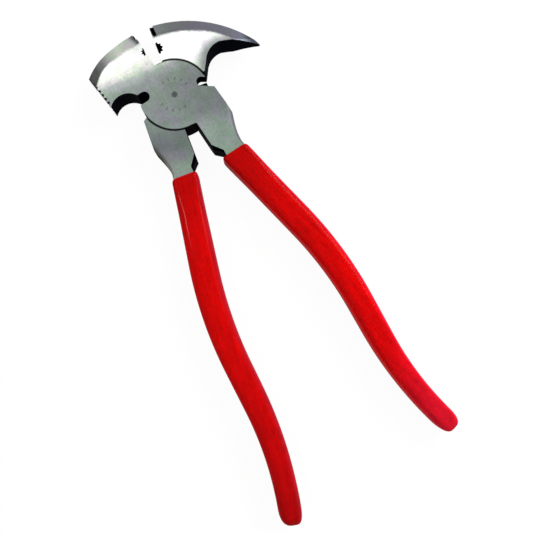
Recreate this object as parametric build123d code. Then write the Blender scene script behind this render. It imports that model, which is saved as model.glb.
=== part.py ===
from build123d import *
import os
from math import atan2, cos, degrees, radians, sin, sqrt

# Fencing pliers lying flat on their back face. The pivot axis is Z through the
# origin, Z = 0 is the resting face, +Y runs from the handles to the head and
# +X is towards the claw. Each half is drawn with the jaws closed, so that its
# jaw face lies along +Y, and is then turned open by half the rest opening.
# All sizes are in millimetres and degrees.

# Whole tool
body_t = 16.0            # thickness of both forgings, and of the grips
rest_opening = 12.7      # angle between the jaws as the tool lies at rest

# Lap joint and rivet
disc_r = 18.0            # round boss of each half, half the thickness deep
recess_gap = 0.5         # radial gap round each boss
lap_gap = 0.1            # gap between the two bosses
rivet_r = 5.0
rivet_head_r = 6.2
rivet_head_h = 1.6
rivet_clearance = 0.05   # radial running clearance in the rear half

# Head
jaw_gap = 0.2            # gap between the jaw faces when closed
head_top = 40.0          # top of the head above the pivot, along the jaw line
bevel_w = 6.8            # bevel round the back of the head, across the face
bevel_d = 5.5            # and its depth down the edge

# Hammer side: a shallow arc, then a tighter one that falls to the striking face
crown_r = 85.8
crown_x = -3.5           # X of the shallow arc's centre
shoulder_x = -17.0       # where the tighter arc takes over
shoulder_r = 33.0
face_top_x = -31.9       # striking face, from its upper edge ...
face_low = (-30.2, 12.07)     # ... to its lower edge
throat_low = (-16.1, 10.4)    # inner end of the arched underside
throat_r = 9.1
waffle_pitch = 2.45
waffle_d = 1.3
waffle_rows = 6          # grooves across the face, running through the thickness
waffle_cols = 6          # grooves along the face

# Claw side: one arc over the back, out to the point
back_r = 62.9
back_x = -1.8            # X of the back arc's centre
tip_x = 50.8
tip_t = 2.0              # thickness left at the point
tip_taper = 13.5         # length over which the point thins
under_mid = (41.3, 15.4)      # gentle arc under the point
under_root = (31.0, 18.0)
root_mid = (24.6, 15.6)       # hollow at the root of the claw
root_low = (21.3, 11.2)
root_end = (18.8, 6.4)

# Jaw grooves: (X, Y, radius), one row for each jaw
pipe_tooth = 0.9
pipe_teeth = 10
hammer_pipe = (0.1, 26.6, 2.7)    # toothed hole for gripping wire and rod
claw_pipe = (-0.1, 25.4, 3.5)
hammer_staple = ((0.1, 40.2, 0.7), (-0.4, 36.0, 0.8))   # slanted staple groove in each
claw_staple = ((0.1, 40.2, 1.9), (1.45, 32.8, 1.0))    # face: its mouth and its end
staple_web = 2.0         # steel left between the front and back staple grooves

# Side cutters: a round-ended slot in each edge of each boss
slot_upper_y = 10.0      # hammer half, throat side
slot_lower_y = 4.6
slot_x = -13.3
claw_slot_upper_y = 7.2  # claw half, claw side
claw_slot_lower_y = 2.8
claw_slot_x = 14.6
claw_slot_fall = 20.0    # fall of the slot's upper edge towards the rim
heel_slot_centre = (15.0, -1.65)  # both halves, handle side
heel_slot_r = 2.35
heel_slot_slope = 35.6   # fall of both its edges towards the rim

# Shank, drawn for the half whose handle is on +X
shank_top = (19.2, -7.0)
shank_side = (19.7, -23.2)
hip_end = (17.6, -28.6)
neck_end = (15.5, -37.6)
shank_inner_x = 1.0
crotch = (1.0, -34.2)
neck_slope_y = -30.0     # where the flat starts to fall towards the tang
neck_bevel = 2.2

# Grip outline: each long edge is straight, arc, straight, arc
grip_y = -40.3           # open end of the grips
grip_outer_x = 16.9
grip_inner_x = 2.1
grip_outer_runs = ((44.0, 0.0), (56.3, 15.8), (22.4, 0.0))
grip_inner_runs = ((52.2, 0.0), (47.7, 14.3), (14.1, 0.0))
grip_inner_extra = 2.4   # the inner edge is this much longer than the outer
grip_edge_r = 4.2
grip_wall = 1.75
# Each handle: its lean out from the centre line, the length along its outer edge,
# and for its (outer, inner) edge the extra lean, last arc radius and end corner
hammer_handle_shape = (10.2, 177.7, ((0.0, 152.0, 5.0), (-0.15, 198.0, 5.2)))
claw_handle_shape = (9.0, 182.0, ((0.6, 158.0, 6.6), (0.2, 220.0, 4.3)))
neck_foot_x = 4.25       # inner corner of the neck, where the grip starts
tang_bevel = 1.8


def at_angle(centre, r, angle):
    return (centre[0] + r * cos(radians(angle)), centre[1] + r * sin(radians(angle)))


def arc_y(centre, r, x):
    """Height of the upper side of a circle at x."""
    return centre[1] + sqrt(r * r - (x - centre[0]) ** 2)


def arc_between(centre, r, start, end):
    """Shorter arc about a centre, from one point on it to another."""
    a = degrees(atan2(start[1] - centre[1], start[0] - centre[0]))
    b = degrees(atan2(end[1] - centre[1], end[0] - centre[0]))
    b = a + (b - a + 180.0) % 360.0 - 180.0
    return ThreePointArc(start, at_angle(centre, r, (a + b) / 2), end)


def plate(sketch, z0, z1):
    """Sketch extruded from one height to another."""
    return extrude(Pos(0, 0, z0) * sketch, z1 - z0)


def block(x0, x1, y0, y1, z0, z1):
    return Pos((x0 + x1) / 2, (y0 + y1) / 2, (z0 + z1) / 2) * Box(x1 - x0, y1 - y0, z1 - z0)


def both_faces(cutter):
    """A cutter for the front face, and its twin for the back face."""
    return [cutter, mirror(cutter, about=Plane.XY.offset(body_t / 2))]


def rim_bevel(centre, r, start, end):
    """Cone that bevels the rim of an arc, between two angles from +X."""
    over = 0.3
    slope_in = (r - bevel_w * (1 + over), body_t + bevel_d * over)
    slope_out = (r + bevel_w * over, body_t - bevel_d * (1 + over))
    wedge = make_face(Plane.XZ * Polyline(
        slope_in, slope_out, (slope_out[0], slope_in[1]), slope_in))
    ring = revolve(wedge, Axis.Z, end - start)
    return Pos(centre[0], centre[1], 0) * (Rot(0, 0, start) * ring)


def edge_path(start, heading, runs, shift):
    """Smooth chain of lines and arcs from (length, turn) pairs, and its end.

    The chain is moved by shift to the right of its own direction.
    """
    edges = []
    point, angle = at_angle(start, shift, heading - 90), heading
    for length, turn in runs:
        if turn == 0:
            nxt = at_angle(point, length, angle)
            edges.append(Line(point, nxt))
        else:
            r = length / radians(turn) + shift
            centre = at_angle(point, r, angle + 90)
            mid = at_angle(centre, r, angle - 90 + turn / 2)
            nxt = at_angle(centre, r, angle - 90 + turn)
            edges.append(ThreePointArc(point, mid, nxt))
            angle += turn
        point = nxt
    return edges, point


def handle_outline(lean, run, sides, inset):
    """Plan of a grip whose handle is on +X, or of its tang, which is inset in it."""
    ends = []
    edges = []
    for (splay, last_r, _), x, side_runs, last, shift in (
            (sides[0], grip_outer_x, grip_outer_runs, run, inset),
            (sides[1], grip_inner_x, grip_inner_runs, run + grip_inner_extra, -inset)):
        last -= inset + sum(length for length, turn in side_runs)
        runs = [(length, -turn) for length, turn in side_runs]
        runs.append((last, degrees(last / last_r)))
        path, end = edge_path((x, grip_y), lean + splay - 90, runs, shift)
        edges += path
        ends += [path[0] @ 0, end]
    edges += [Line(ends[1], ends[3]), Line(ends[0], ends[2])]
    sketch = make_face(Wire(edges))
    for end, r in ((ends[1], sides[0][2]), (ends[3], sides[1][2])):
        corner = sketch.vertices().sort_by_distance(end)[0]
        sketch = fillet([corner], r - inset)
    return sketch


def handle(lean, run, sides):
    """Shank, neck and tang as one solid, and the outside of the grip."""
    grip = plate(handle_outline(lean, run, sides, 0), 0, body_t)
    long_edges = [e for e in grip.edges()
                  if abs(e.center().Z - body_t / 2) > body_t / 2 - 0.01
                  and e.center().Y < grip_y - 0.01]
    grip = fillet(long_edges, grip_edge_r)

    tang_t = body_t - 2 * grip_wall
    tang = plate(handle_outline(lean, run, sides, grip_wall), grip_wall, grip_wall + tang_t)
    tang_edges = [e for e in tang.edges()
                  if abs(e.center().Z - body_t / 2) > tang_t / 2 - 0.01]
    tang = chamfer(tang_edges, tang_bevel)

    # Shank and neck; the neck's corners are bevelled on both faces
    neck_y = grip_y - 3
    hip_line = (hip_end[0] - shank_side[0], hip_end[1] - shank_side[1])
    foot = (neck_foot_x, neck_end[1])
    plan = make_face(Wire([
        Line((shank_inner_x, 0), (shank_top[0] - 6, 0)),
        Line((shank_top[0] - 6, 0), shank_top),
        Line(shank_top, shank_side), Line(shank_side, hip_end),
        TangentArc(hip_end, neck_end, tangent=hip_line),
        Line(neck_end, (neck_end[0] + 0.6, neck_y)),
        Line((neck_end[0] + 0.6, neck_y), (foot[0] + 0.6, neck_y)),
        Line((foot[0] + 0.6, neck_y), foot),
        Line(foot, crotch), Line(crotch, (shank_inner_x, 0))]))
    shank = plate(plan, 0, body_t)
    neck_edges = [e for e in shank.edges()
                  if abs(e.center().Z - body_t / 2) > body_t / 2 - 0.01
                  and min((e @ 0).Y, (e @ 1).Y) < shank_side[1] - 1
                  and neck_y + 0.1 < e.center().Y < shank_side[1] - 0.1
                  and abs((e @ 0).X - (e @ 1).X) > 0.01]
    shank = chamfer(neck_edges, neck_bevel)

    # The flats fall to the tang's thickness where the grip starts
    fall = grip_wall
    slope = make_face(Plane.YZ * Polyline(
        (neck_slope_y, body_t), (grip_y, body_t - fall),
        (grip_y - 6, body_t - fall), (grip_y - 6, body_t + 1),
        (neck_slope_y, body_t + 1), (neck_slope_y, body_t)))
    for cutter in both_faces(extrude(slope, 60, both=True)):
        shank -= cutter
    return shank + tang, grip


def hammer_head():
    """Hammer jaw, from the jaw line out to the striking face."""
    jaw_x = -jaw_gap / 2
    crown = (crown_x, head_top - sqrt(crown_r ** 2 - crown_x ** 2))
    start = (jaw_x, arc_y(crown, crown_r, jaw_x))
    shoulder = (shoulder_x, arc_y(crown, crown_r, shoulder_x))
    ux, uy = (shoulder[0] - crown[0]) / crown_r, (shoulder[1] - crown[1]) / crown_r
    tight = (shoulder[0] - shoulder_r * ux, shoulder[1] - shoulder_r * uy)
    face_top = (face_top_x, arc_y(tight, shoulder_r, face_top_x))
    half = sqrt((face_low[0] - throat_low[0]) ** 2 + (face_low[1] - throat_low[1]) ** 2) / 2
    drop = sqrt(throat_r ** 2 - half ** 2)
    dx, dy = (throat_low[0] - face_low[0]) / (2 * half), (throat_low[1] - face_low[1]) / (2 * half)
    arch = ((face_low[0] + throat_low[0]) / 2 + drop * dy,
            (face_low[1] + throat_low[1]) / 2 - drop * dx)
    plan = make_face(Wire([
        arc_between(crown, crown_r, start, shoulder),
        arc_between(tight, shoulder_r, shoulder, face_top),
        Line(face_top, face_low),
        arc_between(arch, throat_r, face_low, throat_low),
        Line(throat_low, (slot_x, slot_lower_y)), Line((slot_x, slot_lower_y), (jaw_x, 0)),
        Line((jaw_x, 0), start)]))
    solid = plate(plan, 0, body_t)

    split = degrees(atan2(uy, ux))
    for cutter in both_faces(rim_bevel(crown, crown_r, 80, split)):
        solid -= cutter
    for cutter in both_faces(rim_bevel(tight, shoulder_r, split, 160)):
        solid -= cutter
    return solid - waffle(face_top)


def waffle(face_top):
    """Crossed V grooves over the striking face."""
    tilt = degrees(atan2(face_top[1] - face_low[1], face_top[0] - face_low[0]))
    length = sqrt((face_top[0] - face_low[0]) ** 2 + (face_top[1] - face_low[1]) ** 2)
    half_w = waffle_d * 0.85
    vee = Polyline((-waffle_d, 0), (0.3, -half_w * 1.33), (0.3, half_w * 1.33), (-waffle_d, 0))
    row = extrude(make_face(vee), body_t + 2)
    cutters = []
    for i in range(waffle_rows):
        along = length * 0.42 + waffle_pitch * (i - (waffle_rows - 1) / 2)
        x = face_low[0] + along * cos(radians(tilt))
        y = face_low[1] + along * sin(radians(tilt))
        cutters.append(Pos(x, y, -1) * (Rot(0, 0, tilt + 90) * row))
    column = Rot(90, 0, 0) * extrude(make_face(vee), length + 4)
    for i in range(waffle_cols):
        z = body_t / 2 + waffle_pitch * (i - (waffle_cols - 1) / 2)
        x = face_low[0] - 2 * cos(radians(tilt))
        y = face_low[1] - 2 * sin(radians(tilt))
        cutters.append(Pos(x, y, z) * (Rot(0, 0, tilt + 90) * column))
    return cutters


def claw_head():
    """Claw jaw, from the jaw line out to the point."""
    jaw_x = jaw_gap / 2
    back = (back_x, head_top - sqrt(back_r ** 2 - back_x ** 2))
    start = (jaw_x, arc_y(back, back_r, jaw_x))
    tip = (tip_x, arc_y(back, back_r, tip_x))
    plan = make_face(Wire([
        arc_between(back, back_r, start, tip),
        ThreePointArc(tip, under_mid, under_root),
        ThreePointArc(under_root, root_mid, root_low),
        Line(root_low, root_end), Line(root_end, (claw_slot_x, claw_slot_lower_y)),
        Line((claw_slot_x, claw_slot_lower_y), (jaw_x, 0)), Line((jaw_x, 0), start)]))
    solid = plate(plan, 0, body_t)
    for cutter in both_faces(rim_bevel(back, back_r, 20, 100)):
        solid -= cutter

    # The point thins to a chisel, square to the claw's own direction
    aim = degrees(atan2(tip[1] - under_mid[1], tip[0] - under_mid[0])) - 12
    fall = (body_t - tip_t) / 2
    wedge = make_face(Plane.XZ * Polyline(
        (-tip_taper, body_t), (0, body_t - fall), (6, body_t - fall - 6 * fall / tip_taper),
        (6, body_t + 2), (-tip_taper, body_t + 2), (-tip_taper, body_t)))
    wedge = Pos(tip[0], tip[1], 0) * (Rot(0, 0, aim) * extrude(wedge, 30, both=True))
    for cutter in both_faces(wedge):
        solid -= cutter
    return solid


def jaw_grooves(pipe, staple):
    """Toothed hole through one jaw at its jaw line, and a staple groove in each face."""
    points = []
    for i in range(2 * pipe_teeth):
        r = pipe[2] - (pipe_tooth if i % 2 else 0)
        points.append(at_angle(pipe, r, 180.0 * i / pipe_teeth))
    star = make_face(Polyline(*points, points[0]))
    groove = make_hull([edge for x, y, r in staple
                        for edge in (Pos(x, y, 0) * Circle(r)).edges()])
    front = plate(groove, (body_t + staple_web) / 2, body_t + 1)
    return [plate(star, -1, body_t + 1), *both_faces(front)]


def round_slot(x, y_low, y_high, out):
    """Slot across the rim of a boss, with a round inner end at x."""
    r = (y_high - y_low) / 2
    y = (y_high + y_low) / 2
    end = plate(Pos(x, y, 0) * Circle(r), -1, body_t + 1)
    return end + block(min(x, out), max(x, out), y_low, y_high, -1, body_t + 1)


def claw_slot():
    """Slot on the claw side, whose upper edge falls to a sharp cutting corner."""
    r = (claw_slot_upper_y - claw_slot_lower_y) / 2
    x, y = claw_slot_x, claw_slot_lower_y + r
    knee = at_angle((x, y), r, 90 - claw_slot_fall)
    far = 9.0
    drop = far * sin(radians(claw_slot_fall)) / cos(radians(claw_slot_fall))
    mouth = make_face(Polyline((x, y), knee, (knee[0] + far, knee[1] - drop),
                               (knee[0] + far, y - r), (x, y - r), (x, y)))
    return plate(mouth, -1, body_t + 1) + plate(Pos(x, y, 0) * Circle(r), -1, body_t + 1)


def heel_slot(side):
    """Slot on the handle side, which falls towards the rim."""
    cx, cy = heel_slot_centre
    far = 9.0
    run = block(0, far, -heel_slot_r, heel_slot_r, -1, body_t + 1)
    slot = plate(Circle(heel_slot_r), -1, body_t + 1) + run
    slot = Pos(cx, cy, 0) * (Rot(0, 0, -heel_slot_slope) * slot)
    return slot if side > 0 else mirror(slot, about=Plane.YZ)


def rivet_solid(extra):
    """Countersunk rivet; extra is a radial allowance, for its bore."""
    r, head = rivet_r + extra, rivet_head_r + extra
    profile = make_face(Plane.XZ * Polyline(
        (0, 0), (head, 0), (r, rivet_head_h), (r, body_t - rivet_head_h),
        (head, body_t), (0, body_t), (0, 0)))
    return revolve(profile, Axis.Z, 360)


mid = body_t / 2
recess = Circle(disc_r + recess_gap)
boss = Circle(disc_r)

# Hammer half: front boss, hammer jaw on -X and handle on +X
hammer_handle, hammer_grip = handle(*hammer_handle_shape)
hammer_half = hammer_head() + hammer_handle
hammer_half -= plate(recess, -1, mid + lap_gap / 2)
hammer_half += plate(boss, mid + lap_gap / 2, body_t)
hammer_half -= [round_slot(slot_x, slot_lower_y, slot_upper_y, -24), heel_slot(1)]
hammer_half -= jaw_grooves(hammer_pipe, hammer_staple)
rivet = rivet_solid(0)
hammer_half -= rivet

# Claw half: rear boss, claw jaw on +X and handle on -X
claw_handle, claw_grip = (mirror(s, about=Plane.YZ) for s in handle(*claw_handle_shape))
claw_half = claw_head() + claw_handle
claw_half -= plate(recess, mid - lap_gap / 2, body_t + 1)
claw_half += plate(boss, 0, mid - lap_gap / 2)
claw_half -= [claw_slot(), heel_slot(-1)]
claw_half -= jaw_grooves(claw_pipe, claw_staple)
claw_half -= rivet_solid(rivet_clearance)

# Grips fill to the tangs all round
hammer_grip -= hammer_half
claw_grip -= claw_half

turn = Rot(0, 0, rest_opening / 2)
unturn = Rot(0, 0, -rest_opening / 2)
parts = {
    "hammer_half": turn * hammer_half,
    "hammer_grip": turn * hammer_grip,
    "pivot_rivet": turn * rivet,
    "claw_half": unturn * claw_half,
    "claw_grip": unturn * claw_grip,
}

os.makedirs("parts", exist_ok=True)
for node, solid in parts.items():
    export_step(solid, f"parts/{node}.step")
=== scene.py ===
from math import cos, pi, radians, sin, tan

import bmesh
import bpy
from mathutils import Matrix, Vector


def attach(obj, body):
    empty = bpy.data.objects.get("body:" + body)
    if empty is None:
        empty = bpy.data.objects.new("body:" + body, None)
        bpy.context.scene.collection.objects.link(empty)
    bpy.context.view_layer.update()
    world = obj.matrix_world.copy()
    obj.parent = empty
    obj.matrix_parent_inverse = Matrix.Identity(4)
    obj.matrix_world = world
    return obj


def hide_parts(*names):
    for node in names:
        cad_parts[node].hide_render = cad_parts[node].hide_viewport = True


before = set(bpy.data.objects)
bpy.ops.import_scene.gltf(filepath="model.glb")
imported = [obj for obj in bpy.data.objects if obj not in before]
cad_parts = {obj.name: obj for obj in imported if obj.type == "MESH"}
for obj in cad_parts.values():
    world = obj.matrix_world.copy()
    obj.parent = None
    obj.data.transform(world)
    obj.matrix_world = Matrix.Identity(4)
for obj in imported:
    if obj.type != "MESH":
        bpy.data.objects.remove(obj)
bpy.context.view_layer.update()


# The two forgings. Each is one steel drop forging that keeps a black oxide in its
# slots and on its edges, made near black as painted shade, and is ground on its
# flats: bright on the jaws, satin on the boss and shank, with a painted reflection
# that runs from grey up to white on the jaws. They lie face to face and turn on one rivet.
MM = 1000.0                       # millimetres to a metre; sizes here are in millimetres
REST_OPENING = radians(12.7)      # each half is turned by half of this from closed
MID_HEIGHT, TOP = 8.0, 16.0       # where the two halves meet, and the upper flat
GAP_R = 18.25                     # middle of the running gap round the boss
STAMP_R, STAMP_TURN, STROKE_STEP = 8.1, 56.0, 23.0     # ring of strokes; degrees
RIVET_LINE_R = 6.1                # faint line round the rivet's head
FACE_OUT, FACE_REACH = (-0.9965, -0.083), 29.09        # striking face: way out, distance
FACE_TOP = 24.6                   # where the marks of its teeth end
CROTCH_X, CROTCH_Y, CROTCH_SLOPE = 1.0, -34.2, 0.956   # inner corner of each neck

# How upright a surface is: where each ground face starts, is full, fades and ends
BEVEL_LEAN = (0.86, 0.88, 0.90, 0.92)
NECK_LEAN = (0.60, 0.66, 0.76, 0.80)

# Near-black oxide: partly the forging's own black, partly painted shade
FORGE_BLACK_AND_SHADE = (0.0010, 0.0012, 0.0030, 1)
WORN_BLACK_AND_SHADE = (0.006, 0.006, 0.009, 1)
# pure white of the jaw faces is a painted highlight
JAW_HIGHLIGHT_WHITE = (1.0, 1.0, 1.0, 1)
TOOTH_STEEL = (0.085, 0.087, 0.090, 1)
THROAT_GREY = (0.26, 0.30, 0.27, 1)
GREEN_TEMPER, VIOLET_TEMPER = (0.93, 1.03, 0.93, 1), (1.05, 0.97, 1.09, 1)

# Tone of the flats, partly ground finish and partly a painted reflection, from the grips up to
# the jaws: (mm along the half, colour)
HAMMER_TONES = ((-38, (0.235, 0.300, 0.245)), (-30, (0.240, 0.300, 0.262)),
                (-22, (0.266, 0.304, 0.286)), (-13, (0.190, 0.216, 0.208)),
                (4, (0.228, 0.258, 0.242)), (11, (0.258, 0.292, 0.272)),
                (16, (0.400, 0.452, 0.412)), (19, (0.700, 0.745, 0.650)),
                (22, (0.930, 0.975, 0.860)), (25, (1.0, 1.0, 0.985)))
CLAW_TONES = ((-38, (0.235, 0.275, 0.250)), (-33, (0.185, 0.205, 0.200)),
              (-27, (0.136, 0.154, 0.152)), (-20, (0.158, 0.178, 0.176)),
              (-10, (0.220, 0.248, 0.240)), (8, (0.240, 0.285, 0.260)),
              (14, (0.900, 0.920, 0.860)), (20, (1.0, 1.0, 0.985)))
# Painted light and shade on the ground bevel round the back of the head, following which way it
# faces: (mm from the jaw line, colour)
HAMMER_BEVEL_SHADING = ((-31, (0.050, 0.051, 0.049)), (-26, (0.056, 0.058, 0.053)),
                (-22.4, (0.130, 0.136, 0.130)), (-17, (0.400, 0.430, 0.380)),
                (-11, (0.560, 0.610, 0.500)), (-4, (0.500, 0.520, 0.490)),
                (-2.6, (0.330, 0.335, 0.360)), (-1.6, (0.080, 0.081, 0.094)))
CLAW_BEVEL_SHADING = ((0, (0.170, 0.185, 0.180)), (10, (0.120, 0.130, 0.128)),
              (20, (0.118, 0.113, 0.145)), (34, (0.128, 0.122, 0.155)),
              (43, (0.150, 0.155, 0.200)), (47, (0.030, 0.030, 0.045)))
# Painted light and shade on the ground corner down the outside of each neck: (mm along the half,
# colour)
HAMMER_NECK_SHADING = ((-36, (0.155, 0.155, 0.172)), (-24, (0.172, 0.172, 0.190)))
CLAW_NECK_SHADING = ((-36, (0.172, 0.168, 0.150)), (-32, (0.150, 0.146, 0.128)),
             (-28, (0.074, 0.073, 0.062)))


class Measure:
    """A number, colour or vector read over a surface; sums on it add Math nodes."""

    def __init__(self, tree, socket=None):
        self.tree, self.socket = tree, socket

    def node(self, kind, settings, inputs, out=0):
        made = self.tree.nodes.new(kind)
        for name, value in settings.items():
            if name == "stops":
                ramp = made.color_ramp.elements
                ramp[0].color, ramp[1].color = (*value[0][1], 1), (*value[-1][1], 1)
                for place, colour in value[1:-1]:
                    ramp.new(place).color = (*colour, 1)
            else:
                setattr(made, name, value)
        for key, value in inputs.items():
            if isinstance(value, Measure):
                self.tree.links.new(value.socket, made.inputs[key])
            else:
                made.inputs[key].default_value = value
        return Measure(self.tree, made.outputs[out] if len(made.outputs) else None)

    def math(self, operation, *others, first=None):
        terms = (self, *others) if first is None else (first, self)
        return self.node("ShaderNodeMath", {"operation": operation}, dict(enumerate(terms)))

    def __add__(self, other):
        return self.math("ADD", other)

    def __sub__(self, other):
        return self.math("SUBTRACT", other)

    def __rsub__(self, other):
        return self.math("SUBTRACT", first=other)

    def __mul__(self, other):
        return self.math("MULTIPLY", other)

    def __truediv__(self, other):
        return self.math("DIVIDE", other)

    def __rtruediv__(self, other):
        return self.math("DIVIDE", first=other)

    def __pow__(self, other):
        return self.math("POWER", other)

    def __abs__(self):
        return self.math("ABSOLUTE")

    __radd__, __rmul__ = __add__, __mul__

    def rise(self, low, high):
        """0 at low, 1 at high, eased at both ends."""
        return self.node("ShaderNodeMapRange", {"interpolation_type": "SMOOTHSTEP"},
                         {"Value": self, "From Min": low, "From Max": high})

    def band(self, low, full, fading, high):
        """1 from full to fading, and 0 below low and above high."""
        return self.rise(low, full) * (1 - self.rise(fading, high))

    def tones(self, steps):
        """A colour that follows this measure through (place, colour) steps."""
        low, high = steps[0][0], steps[-1][0]
        place = self.node("ShaderNodeMapRange", {},
                          {"Value": self, "From Min": low, "From Max": high})
        stops = [((step - low) / (high - low), colour) for step, colour in steps]
        return self.node("ShaderNodeValToRGB", {"stops": stops}, {0: place})

    def blend(self, first, second):
        """From the first colour to the second, as this mask goes from 0 to 1."""
        return self.node("ShaderNodeMix", {"data_type": "RGBA"},
                         {0: self, 6: first, 7: second}, 2)

    def parts(self):
        split = self.node("ShaderNodeSeparateXYZ", {}, {0: self})
        return [Measure(self.tree, socket) for socket in split.socket.node.outputs]

    def stretched(self, scale):
        return self.node("ShaderNodeMapping", {}, {"Vector": self, "Scale": scale})

    def grain(self, scale, detail=2.0, rough=0.5):
        return self.node("ShaderNodeTexNoise", {}, {"Vector": self, "Scale": scale,
                         "Detail": detail, "Roughness": rough})


def new_finish(name):
    finish = bpy.data.materials.new(name)
    finish.use_nodes = True
    finish.node_tree.nodes.clear()
    return finish, Measure(finish.node_tree)


def from_arc(x, y, centre):
    """Distance from an arc's centre."""
    dx, dy = x - centre[0], y - centre[1]
    return (dx * dx + dy * dy) ** 0.5


def stamped(page, x, y, z, out, pits):
    """Two arcs of short stamped strokes round a punch mark, and the rivet head's line."""
    worn = (pits - 0.5) * 0.5
    angle = page.node("ShaderNodeMath", {"operation": "ARCTAN2"}, {0: y, 1: x})
    turn = angle * (180 / pi) - STAMP_TURN
    ripple = (turn * (2 * pi / STROKE_STEP)).math("COSINE")
    strokes = ripple.rise(0.55, 0.85) * (1 - abs(out + worn - STAMP_R).rise(0.75, 1.0))
    arcs = abs((turn * (pi / 180)).math("COSINE")).rise(0.42, 0.50)
    punch = 1 - (out + worn).rise(1.1, 1.9)
    head_line = 1 - abs(out + worn * 0.4 - RIVET_LINE_R).rise(0.05, 0.30)
    mark = (strokes * arcs * 0.32).math("MAXIMUM", punch * 0.62)
    mark = mark.math("MAXIMUM", head_line * 0.16)
    return 1 - mark * z.rise(TOP - 0.5, TOP - 0.2)


def flats_and_painted_sheen(x, y, reach, patch, flat_tones, throat):
    """Tone of the flats along a half, partly a painted reflection, greyer round the hollow of
    the claw's throat.
    """
    flats = reach.tones(flat_tones)
    if throat:
        centre, radius = throat
        fade = (from_arc(x, y, centre) - radius + (patch - 0.5) * 2.0).rise(-0.5, 6.0)
        fade = fade.math("MAXIMUM", 1 - (x - y * 0.2).rise(5.0, 9.0))
        flats = fade.blend(THROAT_GREY, flats)
    return flats


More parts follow.
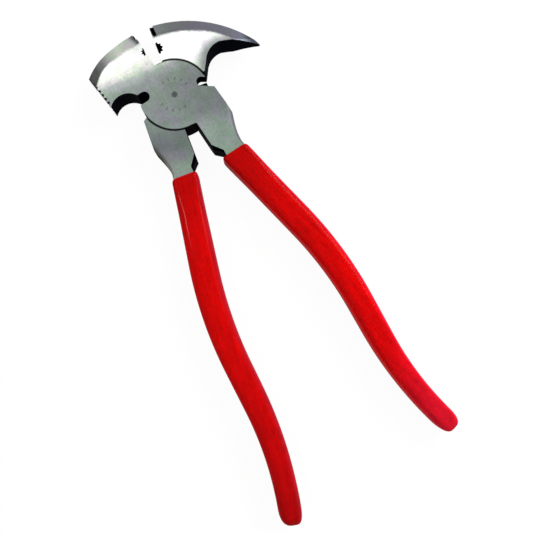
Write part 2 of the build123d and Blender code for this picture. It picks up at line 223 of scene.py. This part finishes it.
def steel_finish(name, side, flat_tones, bevel_shading_steps, neck_shading_steps, edge_depth, throat=None):
    """Ground steel over black oxide for one half, with painted light and shade; side is 1 for
    hammer, -1 for claw.
    """
    finish, page = new_finish(name)
    place = page.node("ShaderNodeTexCoord", {}, {}, "Object")
    facing = page.node("ShaderNodeTexCoord", {}, {}, "Normal")
    closed = page.node("ShaderNodeMapping", {},
                       {"Vector": place, "Rotation": (0, 0, -side * REST_OPENING / 2),
                        "Scale": (MM, MM, MM)})
    x, y, z = closed.parts()
    lean = abs(facing.parts()[2])
    level = abs(z - MID_HEIGHT)

    # Grinding lines run along the half, over cloudy patches, mottling and fine pits
    streak = closed.stretched((1.1, 0.2, 0.2)).grain(1.0, 4.0, 0.65)
    patch = closed.grain(0.12, 3.0, 0.55)
    pits = closed.grain(1.3, 3.0, 0.7)
    reach = y + (streak - 0.5) * 3.2 + (patch - 0.5) * 3.0 + x * 0.20
    mottle = closed.grain(0.7, 2.0, 0.6)
    rub = closed.stretched((1.0, 0.16, 1.0)).grain(0.42, 3.0, 0.6)
    shade = 0.34 + patch * 0.30 + pits * 0.42 + rub * 0.20 + mottle * 0.44
    # The flats' tones carry a painted reflection that brightens to white on the jaws
    flats = flats_and_painted_sheen(x, y, reach, patch, flat_tones, throat)

    # Bevel round the back of the head, which fades into the flat, with painted light and shade
    # along it
    depth = edge_depth(x, y) + (pits - 0.5) * 0.5 + (patch - 0.5) * 0.8
    bevel = (1 - depth.rise(0.0, 1.0)) * y.rise(4, 5)
    bevel = bevel.math("MAXIMUM", lean.band(*BEVEL_LEAN))
    bevel_shading = (x + (patch - 0.5) * 4.0).tones(bevel_shading_steps)
    tone = bevel.blend(flats, bevel_shading)

    # Ground corner down the outside of the neck, with painted light and shade
    corner = lean.band(*NECK_LEAN) * (1 - y.rise(-20, -18))
    outside = (x * side).rise(9.0, 11.0)
    tone = (corner * outside * level.rise(7.6, 6.6)).blend(tone, y.tones(neck_shading_steps))

    # Painted shade in the gap round the boss, the stamped marks, painted shade across the
    # hammer's boss, and patches of heat tint
    from_pivot = from_arc(x, y, (0.0, 0.0))
    gap_shade = (1 - abs(from_pivot - GAP_R).rise(0.42, 0.75)) * (x * y).rise(2, 12)
    shade = shade * (1 - gap_shade * 0.85)
    if side > 0:
        shade = shade * stamped(page, x, y, z, from_pivot, pits)
        # Painted shade: the hammer half darker towards +x and towards the jaws, across its boss
        shade = shade * (1.07 - (x * 0.95 + y * 0.30).rise(-18, 18) * 0.30)
    tone = page.node("ShaderNodeVectorMath", {"operation": "SCALE"},
                     {0: tone, "Scale": shade})
    temper = closed.grain(0.16, 4.0, 0.6).rise(0.36, 0.64)
    tint = temper.blend(GREEN_TEMPER, VIOLET_TEMPER)
    tone = page.node("ShaderNodeVectorMath", {"operation": "MULTIPLY"}, {0: tone, 1: tint})

    # Jaw faces are painted pure white, a painted highlight on ground steel, and the teeth of the
    # striking face on their tops
    wall = 1 - lean.rise(0.30, 0.42)
    jaw = wall * (1 - abs(x).rise(0.30, 0.45)) * y.rise(18.2, 18.8)
    tone = jaw.blend(tone, JAW_HIGHLIGHT_WHITE)
    out_past = x * FACE_OUT[0] + y * FACE_OUT[1] - FACE_REACH
    waffled = out_past.rise(-1.7, -1.5) * (1 - lean.rise(0.88, 0.94))
    waffled = waffled * (1 - y.rise(FACE_TOP, FACE_TOP + 0.6))
    tooth = out_past.rise(-0.35, -0.05) * (1 - lean.rise(0.8, 0.9))
    tone = (wall * tooth).blend(tone, TOOTH_STEEL)

    # The oxide stays in the walls, between the teeth and down the inside of the neck, made near
    # black there as painted shade
    inner_corner = corner * (1 - outside)
    crotch_line = CROTCH_X - (y - CROTCH_Y).math("MINIMUM", 0.0) * CROTCH_SLOPE
    inside_edge = 1 - (x * side - crotch_line).rise(0.25, 0.55)
    inside_edge = inside_edge * y.band(-37.4, -37.0, -18.6, -18.3)
    bright = level.rise(1.0, 1.6) * (1 - wall) * (1 - inner_corner) * (1 - waffled)
    bright = bright * (1 - inside_edge)
    bright = bright.math("MAXIMUM", jaw).math("MAXIMUM", wall * tooth)

    steel = page.node("ShaderNodeBsdfPrincipled", {},
                      {"Base Color": tone, "Metallic": 1.0,
                       "Roughness": 0.30 + patch * 0.12})
    # Oxide: forge black, darkened and nearly without reflection as painted shade
    oxide = page.node("ShaderNodeBsdfPrincipled", {},
                      {"Base Color": pits.rise(0.62, 0.85).blend(FORGE_BLACK_AND_SHADE, WORN_BLACK_AND_SHADE),
                       "Roughness": 0.62, "Specular IOR Level": 0.002})
    surface = page.node("ShaderNodeMixShader", {}, {0: bright, 1: oxide, 2: steel})
    page.node("ShaderNodeOutputMaterial", {}, {"Surface": surface})
    return finish


CROWN, CROWN_R = (-3.5, -45.73), 85.8     # shallow arc over the hammer side
TIGHT, TIGHT_R = (-11.81, 6.41), 33.0     # tighter arc down to the striking face
BACK, BACK_R = (-1.8, -22.87), 62.9       # one arc over the claw's back
THROAT = ((30.6, 6.6), 11.4)              # hollow at the root of the claw
ARCS_MEET = -17.0                         # where the shallow arc takes over
BEVEL_W = 6.8                             # width of the bevel round the head


def hammer_edge(x, y):
    """0 or less on the hammer side's bevel, 1 or more on the flat inside it."""
    shallow = CROWN_R - from_arc(x, y, CROWN)
    tight = TIGHT_R - from_arc(x, y, TIGHT)
    over = x.rise(ARCS_MEET - 0.2, ARCS_MEET + 0.2)
    into = (over * shallow + (1 - over) * tight) / BEVEL_W
    # Over the crown it ends a little further in, and fades more softly
    crowned = x.rise(-20.0, -12.0)
    return (into - 0.88 - crowned * 0.17) / (0.20 + crowned * 0.05)


def claw_edge(x, y):
    """The same for the claw side, whose bevel narrows towards its point."""
    into = (BACK_R - from_arc(x, y, BACK)) / BEVEL_W
    return (into - 1.16 + x * 0.0085) / 0.26


hammer_steel = steel_finish("hammer_steel", 1, HAMMER_TONES, HAMMER_BEVEL_SHADING, HAMMER_NECK_SHADING,
                            hammer_edge)
claw_steel = steel_finish("claw_steel", -1, CLAW_TONES, CLAW_BEVEL_SHADING, CLAW_NECK_SHADING,
                          claw_edge, THROAT)
for node, finish in (("hammer_half", hammer_steel), ("claw_half", claw_steel),
                     ("pivot_rivet", hammer_steel)):
    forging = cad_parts[node]
    forging.data.materials.clear()
    forging.data.materials.append(finish)


# The grips. Each is a soft red plastic sleeve, dipped over the tang and neck of its
# handle: a rolled lip at the mouth, a rounded section, and a blunt closed end.
OUTER_X, INNER_X, MOUTH_Y = 16.9, 2.1, -40.3               # the mouth, when closed
OUTER_RUNS = ((44.0, 0.0), (56.3, -15.8), (22.4, 0.0))     # (mm, degrees turned)
INNER_RUNS = ((52.2, 0.0), (47.7, -14.3), (14.1, 0.0))
INNER_EXTRA = 2.4                                          # inner edge longer by
# node, body, side of the centre line, length, slimmer by at the mouth, end leans in by,
# and the (lean, last arc radius) of the outer and of the inner edge; mm and degrees
GRIPS = (("hammer_grip", "hammer_lever", 1, 177.7, 0.0, 0.2, (10.2, 152.0), (10.05, 198.0)),
         ("claw_grip", "claw_lever", -1, 181.8, 1.0, 1.8, (9.6, 166.0), (9.2, 214.0)))
# Sizes that both sleeves share, in metres; squareness is the power of the section
SLEEVE_SIZES = {"Thickness": 0.0158, "Wall": 0.0021, "Lip Length": 0.0022,
                "Lip Depth": 0.0008, "Mouth Depth": 0.005, "End Length": 0.0105,
                "Squareness": 3.8}
SLEEVE_SIDES = 65
# Steps of rings along a sleeve, in order from the plug in its mouth to its end
RING_STEPS = {"plug": 2, "inside": 5, "rim": 4, "lip": 15, "body": 115, "end": 30}
END_BLUNT = 0.72                  # power that makes the closed end blunter than a ball

# Red of the plastic, made darker towards the closed end and the mouth as painted shade: (mm
# along the tool, colour)
DIPPED_RED_AND_SHADE = ((-215, (0.46, 0.0003, 0.0012)), (-170, (0.60, 0.0003, 0.0008)),
              (-120, (0.70, 0.0003, 0.0004)), (-70, (0.67, 0.0003, 0.0003)),
              (-42, (0.52, 0.0003, 0.0003)))
# Painted highlight colours, for the side towards +X and the far tip
CRIMSON_HIGHLIGHT, DEEP_CRIMSON_HIGHLIGHT = (0.80, 0.014, 0.055, 1), (0.44, 0.008, 0.022, 1)


def dipped_finish():
    """Red plastic, clouded and finely streaked, with a painted crimson highlight on the side
    towards +X and at the far tip, and painted light brighter outwards.
    """
    finish, page = new_finish("dipped_red")
    place = page.node("ShaderNodeTexCoord", {}, {}, "Object").stretched((MM, MM, MM))
    x, y, z = place.parts()
    cloud = place.grain(0.055, 3.0, 0.6)
    skin = place.grain(0.32, 2.0, 0.5)
    fine = place.grain(1.6, 2.0, 0.6)
    speckle = place.grain(0.75, 3.0, 0.7).rise(0.34, 0.62)

    # Streaks that fan out from above the pivot and run down the grips
    fan = x / (20.0 - y) * 110.0
    drag = page.node("ShaderNodeCombineXYZ", {}, {0: fan, 1: y * 0.10, 2: z})
    drag = drag.grain(0.62, 3.0, 0.65)

    # Painted highlight: crimson on the faces towards +X, and at the tip that lies furthest out
    facing = page.node("ShaderNodeTexCoord", {}, {}, "Normal").parts()
    lit_flank = (facing[0] * 0.9 - facing[1] * 0.35).rise(0.25, 0.95)
    lit_flank = lit_flank * (0.55 + cloud * 0.5) * z.rise(5.0, 13.0)
    outwards = x - y * 0.35
    lit_far_tip = outwards.rise(88.0, 118.0) * 0.30
    crimson = x.rise(-5.0, 15.0).blend(DEEP_CRIMSON_HIGHLIGHT, CRIMSON_HIGHLIGHT)
    # Red along the grip, with painted shade darker towards both ends
    tone = (y + (cloud - 0.5) * 30.0).tones(DIPPED_RED_AND_SHADE)
    tone = lit_flank.math("MAXIMUM", lit_far_tip).blend(tone, crimson)
    shade = 0.20 + skin * 0.30 + fine * 0.20 + drag * 0.78 + speckle * 0.10
    # Painted light: brighter outwards, towards +X and the far ends
    shade = shade * (1 + outwards.rise(60.0, 110.0) * 0.26)
    tone = page.node("ShaderNodeVectorMath", {"operation": "SCALE"},
                     {0: tone, "Scale": shade})
    relief = page.node("ShaderNodeBump", {}, {"Strength": 0.25, "Distance": 0.0003,
                       "Height": cloud * 0.8 + skin * 0.5 + drag * 0.25 + fine * 0.06})
    plastic = page.node("ShaderNodeBsdfPrincipled", {},
                        {"Base Color": tone, "Roughness": 0.45, "Specular IOR Level": 0.0,
                         "Coat Weight": 0.08, "Coat Roughness": 0.12, "Normal": relief})
    page.node("ShaderNodeOutputMaterial", {}, {"Surface": plastic})
    return finish


def grip_edge(name, side, x, line, runs, length):
    """One long edge of a grip, as a Bezier line of straight runs and arcs."""
    lean, last_r = line
    points, heading = [Vector((x, MOUTH_Y, MID_HEIGHT))], radians(lean - 90)
    headings, handles = [heading], []
    last = length - sum(run for run, turn in runs)
    for run, turn in (*runs, (last, last / last_r * 180 / pi)):
        turn = radians(turn)
        chord, handle = run, run / 3
        if turn:
            radius = run / abs(turn)
            chord = 2 * radius * sin(abs(turn) / 2)
            handle = 4 / 3 * radius * tan(abs(turn) / 4)
        half_way = heading + turn / 2
        handles.append(handle)
        points.append(points[-1] + Vector((cos(half_way), sin(half_way), 0)) * chord)
        heading += turn
        headings.append(heading)
    turned = Matrix.Rotation(side * REST_OPENING / 2, 4, "Z") @ Matrix.Diagonal((side, 1, 1, 1))
    curve = bpy.data.curves.new(name, "CURVE")
    curve.dimensions, curve.resolution_u = "3D", 32
    spline = curve.splines.new("BEZIER")
    spline.bezier_points.add(len(points) - 1)
    for i, knot in enumerate(spline.bezier_points):
        along = Vector((cos(headings[i]), sin(headings[i]), 0))
        before, after = handles[max(i - 1, 0)], handles[min(i, len(handles) - 1)]
        knot.handle_left_type = knot.handle_right_type = "FREE"
        knot.co = turned @ points[i] / MM
        knot.handle_left = turned @ (points[i] - along * before) / MM
        knot.handle_right = turned @ (points[i] + along * after) / MM
    edge = bpy.data.objects.new(name, curve)
    bpy.context.scene.collection.objects.link(edge)
    return edge


def sleeve_tree():
    """Sleeve between two edge lines: rings from a plug in the mouth to the blunt end."""
    tree = bpy.data.node_groups.new("dipped_sleeve", "GeometryNodeTree")
    for name, kind in (("Outer Edge", "Object"), ("Inner Edge", "Object"),
                       ("Finish", "Material"), ("Length", "Float"), ("Slim", "Float"),
                       ("End Lean", "Float"), ("Sides", "Int"),
                       *((name, "Float") for name in SLEEVE_SIZES)):
        tree.interface.new_socket(name, in_out="INPUT", socket_type="NodeSocket" + kind)
    tree.interface.new_socket("Sleeve", in_out="OUTPUT", socket_type="NodeSocketGeometry")
    page = Measure(tree)
    entry = tree.nodes.new("NodeGroupInput")
    given = {socket.name: Measure(tree, socket) for socket in entry.outputs}

    rings = sum(RING_STEPS.values()) + 1
    grid = page.node("GeometryNodeMeshGrid", {}, {"Size X": 1.0, "Size Y": 1.0,
                     "Vertices X": rings, "Vertices Y": given["Sides"]})
    ring, around, _ = page.node("GeometryNodeInputPosition", {}, {}).parts()
    ring = (ring + 0.5) * (rings - 1)
    around = (around + 0.5) * (2 * pi)

    stages, start = [], 0
    for count in RING_STEPS.values():
        stages.append(page.node("ShaderNodeClamp", {}, {"Value": (ring - start) / count}))
        start += count
    plug, inside, rim, lip, body, end = stages
    lip, end = lip * (pi / 2), end * (pi / 2)

    # How far along the handle each ring lies, and how far in from the sleeve's outside
    length = given["Length"]
    run = length - given["Lip Length"] - given["End Length"]
    along = (given["Mouth Depth"] * (1 - inside) + given["Lip Length"] * (1 - lip.math("COSINE"))
             + run * body + given["End Length"] * end.math("SINE") ** END_BLUNT)
    inset = (given["Wall"] - (given["Wall"] - given["Lip Depth"]) * rim
             - given["Lip Depth"] * lip.math("SINE"))
    closing = plug * end.math("COSINE") ** END_BLUNT

    # The section is squarer and the sleeve may be slimmer near the mouth
    power = 2.0 / (given["Squareness"] + (1 - along.rise(0.0, 0.02)) * 3.0)
    slim = given["Slim"] * (1 - along.rise(0.0, 0.085))

    edges = []
    for name in ("Outer Edge", "Inner Edge"):
        info = page.node("GeometryNodeObjectInfo", {}, {"Object": given[name]}, "Geometry")
        edges.append(page.node("GeometryNodeSampleCurve", {"mode": "FACTOR"},
                               {"Curves": info, "Factor": along / length}, "Position"))
    outer, inner = edges

    def vector(operation, a, b=(0, 0, 0), out=0, **more):
        return page.node("ShaderNodeVectorMath", {"operation": operation},
                         {0: a, 1: b, **more}, out)

    across = vector("SUBTRACT", outer, inner)
    unit = vector("NORMALIZE", across)
    half = (vector("LENGTH", across, out="Value") - slim) * 0.5
    centre = vector("SCALE", vector("ADD", outer, inner), Scale=0.5)
    lean_in = given["End Lean"] * (end.math("COSINE") - 1)
    centre = vector("ADD", centre, vector("SCALE", unit, Scale=slim * 0.5 + lean_in))

    def rounded(wave):
        return wave.math("SIGN") * abs(wave) ** power

    wide = (half - inset) * closing * rounded(around.math("COSINE"))
    tall = (given["Thickness"] * 0.5 - inset) * closing * rounded(around.math("SINE"))
    up = page.node("ShaderNodeCombineXYZ", {}, {2: tall})
    spot = vector("ADD", vector("ADD", centre, vector("SCALE", unit, Scale=wide)), up)
    sleeve = page.node("GeometryNodeSetPosition", {}, {"Geometry": grid, "Position": spot})
    sleeve = page.node("GeometryNodeMergeByDistance", {}, {"Geometry": sleeve, "Distance": 2e-6})
    sleeve = page.node("GeometryNodeSetShadeSmooth", {}, {"Geometry": sleeve})
    sleeve = page.node("GeometryNodeRealizeInstances", {}, {"Geometry": sleeve})
    sleeve = page.node("GeometryNodeSetMaterial", {},
                       {"Geometry": sleeve, "Material": given["Finish"]})
    exit_node = tree.nodes.new("NodeGroupOutput")
    tree.links.new(sleeve.socket, exit_node.inputs[0])
    return tree


def set_input(modifier, name, value):
    """Sets one input of a Geometry Nodes modifier, by its socket's identifier."""
    for socket in modifier.node_group.interface.items_tree:
        if socket.name == name and socket.in_out == "INPUT":
            modifier[socket.identifier] = value


dipped_red = dipped_finish()
sleeve = sleeve_tree()
for node, body, side, length, slim, end_lean, outer_line, inner_line in GRIPS:
    outer = grip_edge(node + "_outer", side, OUTER_X, outer_line, OUTER_RUNS, length)
    inner = grip_edge(node + "_inner", side, INNER_X, inner_line, INNER_RUNS,
                      length + INNER_EXTRA)
    maker = bpy.data.objects.new(node + "_maker", bpy.data.meshes.new(node + "_maker"))
    bpy.context.scene.collection.objects.link(maker)
    work = maker.modifiers.new("sleeve", "NODES")
    work.node_group = sleeve
    own_sizes = {"Outer Edge": outer, "Inner Edge": inner, "Finish": dipped_red,
                 "Length": length / MM, "Slim": slim / MM, "End Lean": end_lean / MM,
                 "Sides": SLEEVE_SIDES}
    for name, value in {**own_sizes, **SLEEVE_SIZES}.items():
        set_input(work, name, value)
    seen = maker.evaluated_get(bpy.context.evaluated_depsgraph_get())
    mesh = bpy.data.meshes.new_from_object(seen)
    shell = bmesh.new()
    shell.from_mesh(mesh)
    bmesh.ops.recalc_face_normals(shell, faces=shell.faces)
    shell.to_mesh(mesh)
    shell.free()
    grip = bpy.data.objects.new(node + "_skin", mesh)
    bpy.context.scene.collection.objects.link(grip)
    for spare in (maker, outer, inner):
        bpy.data.objects.remove(spare)
    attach(grip, body)
    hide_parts(node)


# The stage: a pale floor that the tool lies on, in a white room with three lamps, and
# the camera above it. The floor shows white but keeps the tool's shadow.
floor = bpy.data.objects.new("floor", bpy.data.meshes.new("floor"))
floor.data.from_pydata([(-4, -4, 0), (4, -4, 0), (4, 4, 0), (-4, 4, 0)], [], [(0, 1, 2, 3)])
bpy.context.scene.collection.objects.link(floor)


def seen_white(page):
    """1 for rays that show the background: camera, glossy and transmission."""
    path = page.node("ShaderNodeLightPath", {}, {}).socket.node.outputs
    camera, glossy, through = (Measure(page.tree, path[name]) for name in
                               ("Is Camera Ray", "Is Glossy Ray", "Is Transmission Ray"))
    return camera.math("MAXIMUM", glossy).math("MAXIMUM", through)


paper, page = new_finish("pale_floor")
matte = page.node("ShaderNodeBsdfDiffuse", {}, {"Color": (0.86, 0.86, 0.86, 1)})
white = page.node("ShaderNodeEmission", {}, {"Color": (1, 1, 1, 1), "Strength": 1.02})
sheet = page.node("ShaderNodeMixShader", {}, {0: seen_white(page) * 0.93, 1: matte, 2: white})
page.node("ShaderNodeOutputMaterial", {}, {"Surface": sheet})
floor.data.materials.append(paper)

world = bpy.data.worlds.new("studio")
bpy.context.scene.world = world
world.use_nodes = True
world.node_tree.nodes.clear()
page = Measure(world.node_tree)
sky = page.node("ShaderNodeBackground", {}, {"Color": (1, 1, 1, 1),
                "Strength": 0.55 + seen_white(page) * 0.45})
page.node("ShaderNodeOutputWorld", {}, {"Surface": sky})


def lamp(name, size, watts, place, aim):
    """Rectangular lamp of a size in metres, turned to face a point."""
    light = bpy.data.lights.new(name, "AREA")
    light.shape, light.size, light.size_y, light.energy = "RECTANGLE", size[0], size[1], watts
    holder = bpy.data.objects.new(name, light)
    holder.location = place
    holder.rotation_euler = (Vector(aim) - Vector(place)).to_track_quat("-Z", "Y").to_euler()
    bpy.context.scene.collection.objects.link(holder)


lamp("key", (0.8, 0.8), 12.0, (1.0, 0.22, 0.75), (0, -0.1, 0))
lamp("side", (0.9, 0.25), 1.2, (1.0, -0.75, 0.28), (0.02, -0.12, 0))
lamp("spark", (0.025, 0.025), 0.3, (-0.294, 0.126, 0.633), (-0.022, -0.059, 0.015))

CAMERA_PLACE = (-0.014934, -0.117639, 0.348)     # metres
CAMERA_AHEAD = Vector((0.04847, 0.05631, -0.99724))
CAMERA_TOP = Vector((0.45811, 0.88595, 0.0723))
SENSOR_W, LENS, NEAR_CLIP = 36.0, 45.186, 0.01   # mm, mm and metres

camera = bpy.data.objects.new("camera", bpy.data.cameras.new("camera"))
bpy.context.scene.collection.objects.link(camera)
camera.data.sensor_width, camera.data.lens, camera.data.clip_start = SENSOR_W, LENS, NEAR_CLIP
right = CAMERA_AHEAD.cross(CAMERA_TOP).normalized()
up = right.cross(CAMERA_AHEAD)
camera.matrix_world = (Matrix.Translation(CAMERA_PLACE)
                       @ Matrix((right, up, -CAMERA_AHEAD)).transposed().to_4x4())
bpy.context.scene.camera = camera
bpy.context.scene.view_settings.view_transform = "Standard"
